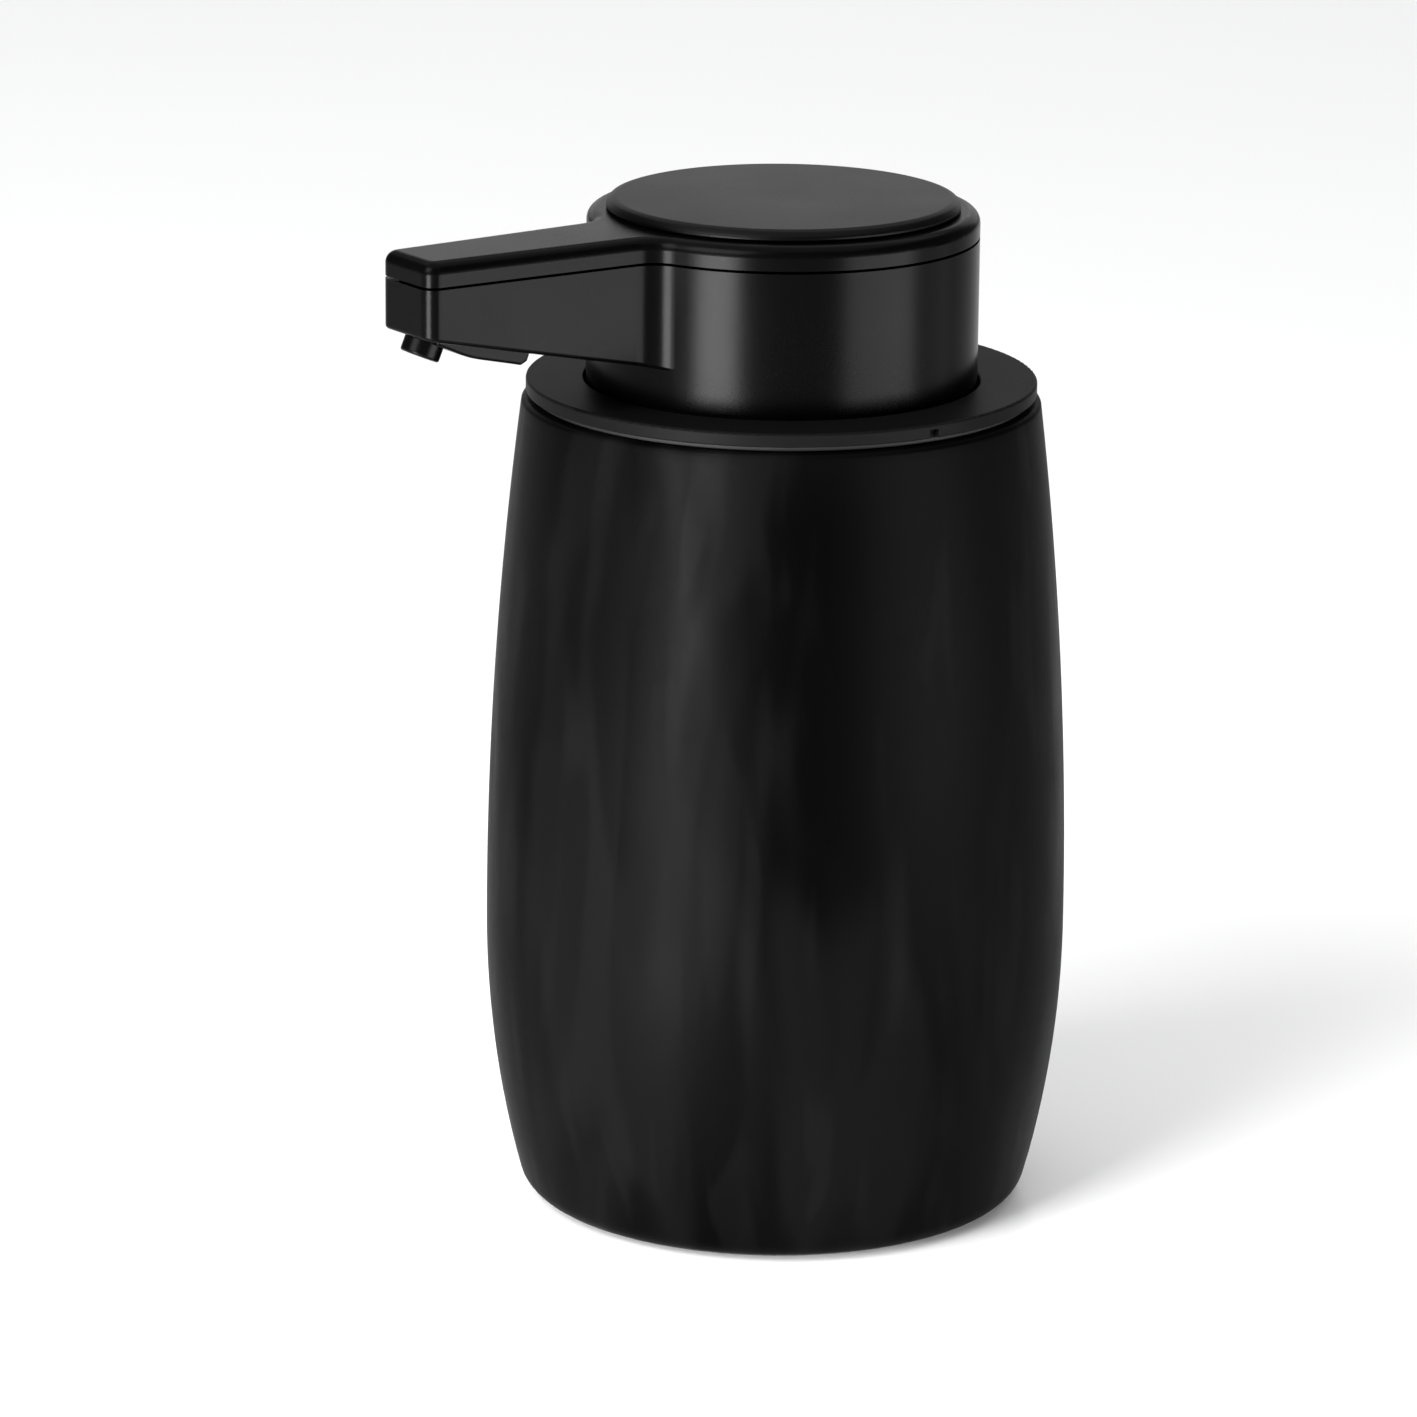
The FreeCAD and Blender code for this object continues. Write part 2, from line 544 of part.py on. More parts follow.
def service_cap():
    """Snap-in cap under the spout that closes the opening for fitting the tube."""
    front = V(-CAP_HALF, CAP_FRONT_Y, spout_foot(CAP_FRONT_Y) - 0.05)
    step = front - V(0, 0, CAP_STEP)
    rear = V(-CAP_HALF, CAP_REAR_Y, spout_foot(CAP_REAR_Y) - 0.05)
    heel = V(-CAP_HALF, CAP_REAR_Y - 0.5, spout_foot(CAP_REAR_Y) - 1.3)
    crown = [step] + [V(-CAP_HALF, y, z) for y, z in CAP_CROWN]
    curve = Part.BSplineCurve()
    curve.interpolate(crown)
    edges = [curve.toShape(), Part.makeLine(crown[-1], heel), Part.makeLine(heel, rear),
             Part.makeLine(rear, front), Part.makeLine(front, step)]
    body = Part.Face(Part.Wire(edges)).extrude(V(2 * CAP_HALF, 0, 0))
    body = rounded(body, 0.4, lambda e: e.CenterOfMass.z < spout_foot(e.CenterOfMass.y) - 0.2)
    body = body.cut(nozzle_rod(NOZZLE_R + RUN, nozzle_root(), 4))
    plug_half, plug_back, plug_front = CAP_SLOT_HALF - 0.1, CAP_SLOT_BACK - 0.1, CAP_SLOT_FRONT + 0.1
    plug = Part.makeBox(2 * plug_half, plug_back - plug_front, 6.0, V(-plug_half, plug_front, 130.0))
    plug = plug.common(above_spout_foot(-0.3, 140)).cut(above_spout_foot(1.7, 140))
    return body.fuse(plug).removeSplitter()


def cover_screws():
    """Three pan-head screws up through the deck into the cover's bosses."""
    screws = []
    for x, y in screw_places():
        head = cylinder(SCREW_HEAD_R, DECK_Z - SCREW_HEAD_HIGH, DECK_Z - 0.02, (x, y))
        head = rounded(head, 0.8, at_height(DECK_Z - SCREW_HEAD_HIGH))
        for angle in (0, 90):
            slot = Part.makeBox(3.0, 0.7, 0.9, V(-1.5, -0.35, DECK_Z - SCREW_HEAD_HIGH - 0.1))
            slot.rotate(AXIS, UP, angle)
            slot.translate(V(x, y, 0))
            head = head.cut(slot)
        screws.append(head.fuse(cylinder(SCREW_R, DECK_Z - 0.5, DECK_Z + 9.0, (x, y))).removeSplitter())
    return Part.makeCompound(screws)


MAKERS = (
    bottle, base_pad, collar, mouth_seal, cylinder_gasket, pump_cylinder, retaining_nut, stem_guide,
    stem_wiper, inlet_ball, inlet_ball_cage, dip_tube, return_spring, stem, piston, outlet_ball,
    head_housing, top_cover, press_pad, outlet_elbow, stem_seal, spout_tube, nozzle, drip_valve,
    service_cap, cover_screws,
)


def main():
    """Makes every piece, checks it and writes its STEP file."""
    os.makedirs("parts", exist_ok=True)
    for make in MAKERS:
        shape = make()
        sound = shape.isValid() and all(s.isClosed() for s in shape.Shells)
        print(make.__name__, len(shape.Solids), "solid(s)", round(shape.Volume, 1), "mm3",
              "ok" if sound and shape.Volume > 0 else "NOT SOUND")
        shape.exportStep(os.path.join("parts", make.__name__ + ".step"))


main()
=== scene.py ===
"""Looks of a press-top soap dispenser: its own meshes, finishes, stage, lights and camera.

Sizes of pieces and finishes are in millimetres and turn into metres where a mesh or a node is made; the
stage's sizes are in metres. The frame is the CAD model's: +Z up, origin under the middle of the bottle,
spout along -Y.
"""

import json
import logging
import math
from dataclasses import dataclass
from enum import Enum
from functools import cache
from typing import Protocol, Sequence

import bpy
from mathutils import Matrix, Quaternion, Vector


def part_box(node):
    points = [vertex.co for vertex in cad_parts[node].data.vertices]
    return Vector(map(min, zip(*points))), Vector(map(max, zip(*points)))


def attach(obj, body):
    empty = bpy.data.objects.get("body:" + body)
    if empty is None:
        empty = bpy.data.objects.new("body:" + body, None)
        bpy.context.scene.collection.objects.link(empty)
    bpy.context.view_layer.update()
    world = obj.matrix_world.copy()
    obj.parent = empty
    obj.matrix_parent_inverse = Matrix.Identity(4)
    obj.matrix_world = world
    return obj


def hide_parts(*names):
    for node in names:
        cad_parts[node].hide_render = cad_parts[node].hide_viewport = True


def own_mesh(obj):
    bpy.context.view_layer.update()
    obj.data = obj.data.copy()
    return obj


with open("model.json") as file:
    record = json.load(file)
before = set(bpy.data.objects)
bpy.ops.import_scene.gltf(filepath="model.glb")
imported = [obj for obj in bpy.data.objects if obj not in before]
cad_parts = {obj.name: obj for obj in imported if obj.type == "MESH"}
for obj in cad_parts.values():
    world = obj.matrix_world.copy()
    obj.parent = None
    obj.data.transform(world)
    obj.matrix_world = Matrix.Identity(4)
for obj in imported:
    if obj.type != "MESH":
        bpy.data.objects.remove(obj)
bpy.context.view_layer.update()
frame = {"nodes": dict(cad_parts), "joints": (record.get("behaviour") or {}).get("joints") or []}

LOG = logging.getLogger("dispenser")
Pair = tuple[float, float]
Corner = tuple[float, float, float]      # radius from the axis, height, rounding
Colour = tuple[float, float, float]
Stretch = tuple[float, float, float]     # scale along X, Y and Z

MM = 0.001
ROUND_STEPS = 144          # facets round a turned piece
KEEP_ANGLE = 32.0          # degrees above which an edge stays sharp
LONGEST_REACH = 0.49       # share of a side that the rounding of its corner may take up
WELD = 2e-6                # metres within which points are joined
EVEN: Stretch = (1.0, 1.0, 1.0)
OPAQUE = 1.0
MIX_SHARE = 0              # places of a Mix node's sockets when it mixes colours
MIX_FIRST = 6
MIX_SECOND = 7
MIX_RESULT = 2


class Body(Enum):
    """The rigid bodies that new pieces ride on."""

    BOTTLE = "bottle"
    PUMP_TOP = "pump_top"
    HEAD = "head"


class Slot(Enum):
    """Names of the record's material slots."""

    GLAZE = "bottle_glaze"
    PAD = "pad_plastic"
    TUBE = "tube_plastic"
    SILICONE = "silicone"
    STEEL = "steel"


class Join(Enum):
    """What a Boolean does with the second object."""

    ADD = "UNION"
    CUT = "DIFFERENCE"


class Detail(Enum):
    """How many finer layers a noise has."""

    PLAIN = 1.0
    SOFT = 2.0
    FINE = 3.0
    FINEST = 4.0


@dataclass(frozen=True)
class Noise:
    """Cloudy noise from 0 to 1, with or without a smooth step through it."""

    size: float                      # of the clouds, in millimetres
    detail: Detail = Detail.SOFT
    stretch: Stretch = EVEN
    stir: float = 0.0                # how far the clouds are distorted
    step: Pair | None = None         # values at which a smooth step from 0 to 1 starts and ends


# ---- Shader arithmetic ----------------------------------------------------------------------
class Value:
    """A shader socket that takes part in Python arithmetic."""

    def __init__(self, graph: "Graph", socket: bpy.types.NodeSocket) -> None:
        """Keeps the socket and the graph that it belongs to.

        Args:
            graph: The node graph that the socket is in.
            socket: An output socket in that graph.
        """
        self.graph = graph
        self.socket = socket

    def _math(self, operation: str, first: "Value | float", second: "Value | float") -> "Value":
        """One Math node on two operands."""
        return self.graph.add("ShaderNodeMath", {"operation": operation}, {0: first, 1: second})

    def __add__(self, other: "Value | float") -> "Value":
        """Sum."""
        return self._math("ADD", self, other)

    def __radd__(self, other: float) -> "Value":
        """Sum with a number on the left."""
        return self._math("ADD", other, self)

    def __sub__(self, other: "Value | float") -> "Value":
        """Difference."""
        return self._math("SUBTRACT", self, other)

    def __rsub__(self, other: float) -> "Value":
        """Difference with a number on the left."""
        return self._math("SUBTRACT", other, self)

    def __mul__(self, other: "Value | float") -> "Value":
        """Product."""
        return self._math("MULTIPLY", self, other)

    def __lt__(self, other: float) -> "Value":
        """1 where the value is below the number, else 0."""
        return self._math("LESS_THAN", self, other)

    def over(self, low: float, high: float) -> "Value":
        """Smooth step from 0 at low to 1 at high.

        Args:
            low: Value at which the step starts.
            high: Value at which the step ends.

        Returns:
            The stepped value.
        """
        settings = {"interpolation_type": "SMOOTHSTEP"}
        inputs = {"Value": self, "From Min": low, "From Max": high}
        return self.graph.add("ShaderNodeMapRange", settings, inputs)


class Graph:
    """The node graph of one material, or of the surroundings."""

    def __init__(self, owner: bpy.types.Material | bpy.types.World) -> None:
        """Empties the owner's graph.

        Args:
            owner: The material or world that the graph belongs to.
        """
        owner.use_nodes = True
        self.owner = owner
        self.tree = owner.node_tree
        self.tree.nodes.clear()

    def add(self, kind: str, settings: dict | None = None, inputs: dict | None = None,
            output: int | str | None = 0) -> Value | None:
        """Makes one node.

        Args:
            kind: The node's type.
            settings: Its properties, set first.
            inputs: Values or links of its sockets, by name or place.
            output: Which output to hand back, by name or place, or None for a node with no output.

        Returns:
            The chosen output, or None.
        """
        node = self.tree.nodes.new(kind)
        for name, setting in (settings or {}).items():
            setattr(node, name, setting)
        for name, value in (inputs or {}).items():
            if isinstance(value, Value):
                self.tree.links.new(value.socket, node.inputs[name])
            else:
                node.inputs[name].default_value = value
        return None if output is None else Value(self, node.outputs[output])

    def place(self, stretch: Stretch = EVEN) -> Value:
        """The point on the piece, in metres, stretched along each axis.

        Args:
            stretch: Scale along each axis.

        Returns:
            The point.
        """
        point = self.add("ShaderNodeTexCoord", output="Object")
        if stretch == EVEN:
            return point
        return self.add("ShaderNodeMapping", None, {"Vector": point, "Scale": stretch})

    def height(self) -> Value:
        """The point's height in metres."""
        return self.add("ShaderNodeSeparateXYZ", None, {0: self.place()}, "Z")

    def noise(self, kind: Noise) -> Value:
        """Cloudy noise from 0 to 1.

        Args:
            kind: Its size, layers, stretch, stir and step.

        Returns:
            The noise value.
        """
        inputs = {"Vector": self.place(kind.stretch), "Scale": 1.0 / (kind.size * MM),
                  "Detail": kind.detail.value, "Distortion": kind.stir}
        value = self.add("ShaderNodeTexNoise", None, inputs)
        return value.over(*kind.step) if kind.step else value

    def blend(self, share: Value, low: Value | Colour, high: Colour) -> Value:
        """Colour between two, by share.

        Args:
            share: Share of the second colour, from 0 to 1.
            low: The first colour.
            high: The second colour.

        Returns:
            The mixed colour.
        """
        first = low if isinstance(low, Value) else (*low, OPAQUE)
        inputs = {MIX_SHARE: share, MIX_FIRST: first, MIX_SECOND: (*high, OPAQUE)}
        return self.add("ShaderNodeMix", {"data_type": "RGBA"}, inputs, MIX_RESULT)

    def bump(self, height: Value, depth: float) -> Value:
        """Normal from a height.

        Args:
            height: Height from 0 to 1.
            depth: What 1 stands for, in millimetres.

        Returns:
            The normal.
        """
        return self.add("ShaderNodeBump", None, {"Height": height, "Distance": depth * MM})

    def finish(self, **sockets: Value | float) -> bpy.types.Material:
        """Ends the material in a Principled surface.

        Args:
            sockets: The shader's sockets, with underscores for spaces.

        Returns:
            The material.
        """
        named = {name.replace("_", " "): value for name, value in sockets.items()}
        shader = self.add("ShaderNodeBsdfPrincipled", None, named)
        self.add("ShaderNodeOutputMaterial", None, {"Surface": shader}, None)
        return self.owner


# ---- Finishes -------------------------------------------------------------------------------
class Finish(Protocol):
    """Anything that a piece can be made of."""

    name: str

    def material(self) -> bpy.types.Material:
        """The finish's node material."""


@dataclass(frozen=True)
class MouldedPlastic:
    """Opaque plastic out of a mould with a spark-eroded grain."""

    name: str
    dark: Colour
    light: Colour
    roughness: float
    specular: float
    grain: float = 0.28              # size of the grain in millimetres
    grain_depth: float = 0.006
    cloud: float = 22.0              # size of the slow changes in gloss
    speck: float = 2.6               # size of the glossy specks, in grains
    speck_step: Pair = (0.62, 0.78)
    cloud_tone: float = 0.6          # share of the clouds in the colour
    grain_tone: float = 0.4
    cloud_gloss: float = 0.1         # change of roughness across a cloud
    grain_gloss: float = 0.04        # change of roughness across a grain or a speck

    @cache
    def material(self) -> bpy.types.Material:
        """Builds the node material once.

        Returns:
            The material.
        """
        graph = Graph(bpy.data.materials.new(self.name))
        clouds = graph.noise(Noise(self.cloud, Detail.FINE))
        grain = graph.noise(Noise(self.grain))
        specks = graph.noise(Noise(self.grain * self.speck, Detail.PLAIN, step=self.speck_step))
        middle = self.roughness - self.cloud_gloss / 2
        clouded = middle + clouds * self.cloud_gloss
        tone = clouds * self.cloud_tone + grain * self.grain_tone
        return graph.finish(
            Base_Color=graph.blend(tone, self.dark, self.light),
            Roughness=clouded + grain * self.grain_gloss - specks * self.grain_gloss,
            Specular_IOR_Level=self.specular,
            Normal=graph.bump(grain, self.grain_depth),
        )


@dataclass(frozen=True)
class StreakedGlaze:
    """Satin black glaze that ran a little before it set: slow upright streaks and blotches."""

    name: str
    dark: Colour
    light: Colour
    clay: Colour
    roughness: float
    specular: float
    foot: float = 1.1                # height of the bare foot ring in millimetres
    runs: Noise = Noise(15.0, Detail.SOFT, (1.0, 1.0, 0.22), 0.35, (0.47, 0.62))
    drips: Noise = Noise(7.0, Detail.PLAIN, (1.0, 1.0, 0.14), 0.6, (0.54, 0.68))
    blotches: Noise = Noise(34.0, Detail.PLAIN, (1.0, 1.0, 0.6), step=(0.42, 0.66))
    pinholes: Noise = Noise(0.7, Detail.PLAIN, step=(0.74, 0.80))
    skin: Noise = Noise(2.4, Detail.FINE)
    run_tone: float = 0.45           # shares of the streaks' three parts
    drip_tone: float = 0.3
    blotch_tone: float = 0.25
    streak_gloss: float = 0.10       # how much less rough a streak is
    skin_gloss: float = 0.05         # how much rougher the top of a ripple is
    bare_gloss: float = 0.3          # how much rougher the bare clay is
    relief: float = 0.02             # depth of the relief in millimetres
    skin_relief: float = 0.7         # shares of the relief
    streak_relief: float = 0.5
    pinhole_relief: float = 0.25

    @cache
    def material(self) -> bpy.types.Material:
        """Builds the node material once.

        Returns:
            The material.
        """
        graph = Graph(bpy.data.materials.new(self.name))
        runs, drips, blotches = (graph.noise(kind) for kind in (self.runs, self.drips, self.blotches))
        pinholes, skin = graph.noise(self.pinholes), graph.noise(self.skin)
        bare = graph.height() < self.foot * MM
        streaks = runs * self.run_tone + drips * self.drip_tone + blotches * self.blotch_tone
        relief = skin * self.skin_relief + streaks * self.streak_relief - pinholes * self.pinhole_relief
        glazed = self.roughness - streaks * self.streak_gloss + skin * self.skin_gloss
        return graph.finish(
            Base_Color=graph.blend(bare, graph.blend(streaks, self.dark, self.light), self.clay),
            Roughness=glazed + bare * self.bare_gloss,
            Specular_IOR_Level=self.specular,
            Normal=graph.bump(relief, self.relief),
        )


@dataclass(frozen=True)
class SoftRubber:
    """Matt silicone with a faint bloom."""

    name: str
    dark: Colour
    light: Colour
    roughness: float = 0.62
    specular: float = 0.3
    bloom: Noise = Noise(5.0, Detail.FINEST)
    bloom_gloss: float = 0.12        # how much rougher the bloom is
    pores: Noise = Noise(0.18, Detail.PLAIN)
    pore_depth: float = 0.004

    @cache
    def material(self) -> bpy.types.Material:
        """Builds the node material once.

        Returns:
            The material.
        """
        graph = Graph(bpy.data.materials.new(self.name))
        bloom = graph.noise(self.bloom)
        pores = graph.noise(self.pores)
        return graph.finish(
            Base_Color=graph.blend(bloom, self.dark, self.light),
            Roughness=self.roughness + bloom * self.bloom_gloss,
            Specular_IOR_Level=self.specular,
            Normal=graph.bump(pores, self.pore_depth),
        )


@dataclass(frozen=True)
class NaturalPlastic:
    """Uncoloured plastic that lets some light through."""

    name: str
    dark: Colour
    light: Colour
    roughness: float
    through: float = 0.0             # share of light that passes clean through
    flow: Noise = Noise(7.0, Detail.FINE, (1.0, 1.0, 0.3), 0.4)
    flow_gloss: float = 0.1          # change of roughness along the flow lines
    grain: Noise = Noise(0.35)
    grain_gloss: float = 0.03
    grain_depth: float = 0.003

    @cache
    def material(self) -> bpy.types.Material:
        """Builds the node material once.

        Returns:
            The material.
        """
        graph = Graph(bpy.data.materials.new(self.name))
        flow = graph.noise(self.flow)
        grain = graph.noise(self.grain)
        return graph.finish(
            Base_Color=graph.blend(flow, self.dark, self.light),
            Roughness=self.roughness + flow * self.flow_gloss + grain * self.grain_gloss,
            Transmission_Weight=self.through,
            Normal=graph.bump(grain, self.grain_depth),
        )


@dataclass(frozen=True)
class StainlessSteel:
    """Drawn or ground stainless steel with fine scratches along one axis."""

    name: str
    colour: Colour
    roughness: float
    stretch: Stretch = (1.0, 1.0, 12.0)
    scratch: float = 0.25            # width of the scratches in millimetres
    scratch_gloss: float = 0.14      # how much rougher a scratch is
    scratch_depth: float = 0.002
    tarnish: Noise = Noise(4.0, Detail.FINE)
    tarnish_tone: float = 0.82       # how bright the tarnished places are

    @cache
    def material(self) -> bpy.types.Material:
        """Builds the node material once.

        Returns:
            The material.
        """
        graph = Graph(bpy.data.materials.new(self.name))
        scratches = graph.noise(Noise(self.scratch, Detail.FINE, self.stretch))
        tarnish = graph.noise(self.tarnish)
        shaded = tuple(part * self.tarnish_tone for part in self.colour)
        return graph.finish(
            Base_Color=graph.blend(tarnish, shaded, self.colour),
            Metallic=1.0,
            Roughness=self.roughness + scratches * self.scratch_gloss,
            Normal=graph.bump(scratches, self.scratch_depth),
        )


@dataclass(frozen=True)
class StudioFloor:
    """Pale, slightly glossy tabletop."""

    name: str = "studio_floor"
    colour: Colour = (0.86, 0.86, 0.865)
    roughness: float = 0.28
    specular: float = 0.35
    haze: Noise = Noise(180.0, Detail.FINE)
    haze_gloss: float = 0.05         # how much rougher the haze is
    haze_tone: float = 0.985         # how bright the places between the haze are

    @cache
    def material(self) -> bpy.types.Material:
        """Builds the node material once.

        Returns:
            The material.
        """
        graph = Graph(bpy.data.materials.new(self.name))
        haze = graph.noise(self.haze)
        darker = tuple(part * self.haze_tone for part in self.colour)
        return graph.finish(
            Base_Color=graph.blend(haze, darker, self.colour),
            Roughness=self.roughness + haze * self.haze_gloss,
            Specular_IOR_Level=self.specular,
        )


SHELL = MouldedPlastic(
    "satin_black_shell", (0.0004, 0.0004, 0.0004), (0.0010, 0.0010, 0.0010), roughness=0.24, specular=0.034)
PLATE = MouldedPlastic(
    "matt_black_collar", (0.0028, 0.0028, 0.0028), (0.0048, 0.0048, 0.0048), roughness=0.42, specular=0.018)
PRESS = MouldedPlastic(
    "matt_black_pad", (0.0008, 0.0008, 0.0008), (0.0018, 0.0018, 0.0018), roughness=0.34, specular=0.055,
    grain=0.22, grain_depth=0.008)
TIP = MouldedPlastic(
    "satin_black_nozzle", (0.0005, 0.0005, 0.0005), (0.0012, 0.0012, 0.0012), roughness=0.26, specular=0.05,
    grain=0.5, grain_depth=0.002)
GLAZE = StreakedGlaze(
    "satin_black_glaze", (0.0002, 0.0002, 0.0002), (0.0036, 0.0036, 0.0037), clay=(0.05, 0.047, 0.045),
    roughness=0.42, specular=0.018)
RUBBER = SoftRubber("black_silicone", (0.0024, 0.0024, 0.0026), (0.0060, 0.0060, 0.0062))
CLEAR_RUBBER = SoftRubber("milky_silicone", (0.24, 0.25, 0.25), (0.32, 0.33, 0.33), roughness=0.5)
NATURAL = NaturalPlastic(
    "natural_polypropylene", (0.17, 0.175, 0.175), (0.24, 0.245, 0.24), roughness=0.34)
SOFT = NaturalPlastic("soft_polyethylene", (0.22, 0.22, 0.21), (0.29, 0.29, 0.28), roughness=0.42)
TUBING = NaturalPlastic(
    "clear_tubing", (0.42, 0.44, 0.44), (0.54, 0.56, 0.56), roughness=0.16, through=0.75)
SPRING_STEEL = StainlessSteel("spring_steel", (0.60, 0.59, 0.57), roughness=0.22, stretch=EVEN)
BALL_STEEL = StainlessSteel("polished_steel", (0.66, 0.66, 0.66), roughness=0.08, stretch=EVEN)
SCREW_STEEL = StainlessSteel("screw_steel", (0.50, 0.50, 0.50), roughness=0.3)


# ---- Modelling helpers ----------------------------------------------------------------------
def deselect() -> None:
    """Leaves edit mode and selects nothing."""
    if bpy.context.object and bpy.context.object.mode != "OBJECT":
        bpy.ops.object.mode_set(mode="OBJECT")
    bpy.ops.object.select_all(action="DESELECT")


def activate(piece: bpy.types.Object) -> None:
    """Makes one object the only selected and active one.

    Args:
        piece: The object.
    """
    deselect()
    piece.select_set(True)
    bpy.context.view_layer.objects.active = piece


def named(name: str) -> bpy.types.Object:
    """Names the object that an operator has just made, and its data.

    Args:
        name: The new name.

    Returns:
        The object.
    """
    piece = bpy.context.object
    piece.name = name
    piece.data.name = name
    return piece


def apply_modifiers(piece: bpy.types.Object) -> None:
    """Applies every modifier of a piece, in order.

    Args:
        piece: The object.
    """
    activate(piece)
    for modifier in list(piece.modifiers):
        bpy.ops.object.modifier_apply(modifier=modifier.name)


def smooth(piece: bpy.types.Object, degrees: float = KEEP_ANGLE) -> None:
    """Shades a piece smooth, with edges above an angle kept sharp."""
    activate(piece)
    bpy.ops.object.shade_smooth_by_angle(angle=math.radians(degrees))


def rounded_outline(corners: Sequence[Corner], steps: int = 5) -> list[Pair]:
    """Points of a section, each corner rounded by an arc.

    Args:
        corners: The section's corners, in millimetres. The first and the last stay sharp.
        steps: Straight pieces in each arc.

    Returns:
        The (radius, height) points.
    """
    points = [corners[0][:2]]
    for before, here, after in zip(corners, corners[1:], corners[2:]):
        at = Vector(here[:2])
        back, onward = Vector(before[:2]) - at, Vector(after[:2]) - at
        if here[2] <= 0.0:
            points.append(here[:2])
            continue
        half = back.angle(onward) / 2
        reach = min(here[2] / math.tan(half), back.length * LONGEST_REACH, onward.length * LONGEST_REACH)
        radius = reach * math.tan(half)
        bisector = (back.normalized() + onward.normalized()).normalized()
        centre = at + bisector * (radius / math.sin(half))
        first, last = at + back.normalized() * reach - centre, at + onward.normalized() * reach - centre
        turn = first.angle_signed(last)
        for step in range(steps + 1):
            swing = turn * step / steps
            spoke = Matrix.Rotation(-swing, 2) @ first
            points.append(tuple(centre + spoke))
    points.append(corners[-1][:2])
    return points


def turned(name: str, section: Sequence[Pair], closed: bool = True, steps: int = ROUND_STEPS,
           keep_angle: float = KEEP_ANGLE) -> bpy.types.Object:
    """Piece turned about Z from a section, drawn point by point and spun.

    Args:
        name: The piece's name.
        section: (radius, height) points in millimetres.
        closed: Whether the last point joins the first; if not, both ends lie on the axis.
        steps: Facets round the piece.
        keep_angle: Edges above this angle, in degrees, stay sharp.

    Returns:
        The new object.
    """
    deselect()
    bpy.ops.mesh.primitive_plane_add(size=MM, location=(0, 0, 0))
    piece = named(name)
    bpy.ops.object.mode_set(mode="EDIT")
    bpy.ops.mesh.select_all(action="SELECT")
    bpy.ops.mesh.merge(type="CENTER")
    path = [Vector((r * MM, 0.0, z * MM)) for r, z in section]
    if closed:
        path.append(path[0])
    bpy.ops.transform.translate(value=path[0])
    for here, there in zip(path, path[1:]):
        bpy.ops.mesh.extrude_region_move(TRANSFORM_OT_translate={"value": there - here})
    bpy.ops.mesh.select_all(action="SELECT")
    bpy.ops.mesh.spin(steps=steps, angle=2 * math.pi, center=(0, 0, 0), axis=(0, 0, 1))
    bpy.ops.mesh.select_all(action="SELECT")
    bpy.ops.mesh.remove_doubles(threshold=WELD)
    bpy.ops.mesh.normals_make_consistent(inside=False)
    bpy.ops.object.mode_set(mode="OBJECT")
    smooth(piece, keep_angle)
    return piece


def combine(piece: bpy.types.Object, other: bpy.types.Object, how: Join) -> None:
    """Adds or takes away another object with a Boolean, and removes that object.

    Args:
        piece: The object that stays.
        other: The object that is used up.
        how: Whether it is added or cut away.
    """
    boolean = piece.modifiers.new("combine", "BOOLEAN")
    boolean.operation = how.value
    boolean.solver = "EXACT"
    boolean.object = other
    apply_modifiers(piece)
    bpy.data.objects.remove(other)


def hand_over(piece: bpy.types.Object, body: Body, slot: Slot, finish: Finish, *nodes: str) -> None:
    """Dresses a new piece and puts it on its body in place of CAD nodes.

    Args:
        piece: The finished object.
        body: The body that it rides on.
        slot: The record's material slot; not used.
        finish: What it is made of.
        nodes: The CAD nodes that it stands for.
    """
    piece.data.materials.clear()
    piece.data.materials.append(finish.material())
    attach(piece, body.value)
    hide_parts(*nodes)
    LOG.info("%s: %d faces on %s", piece.name, len(piece.data.polygons), body.value)


def dress(node: str, finish: Finish) -> None:
    """Gives a CAD node that stays in view its finish.

    Args:
        node: The node's name.
        finish: What it is made of.
    """
    shown = frame["nodes"][node]
    for place in shown.material_slots:
        place.material = finish.material()
    LOG.info("%s: kept from CAD in %s", node, finish.name)


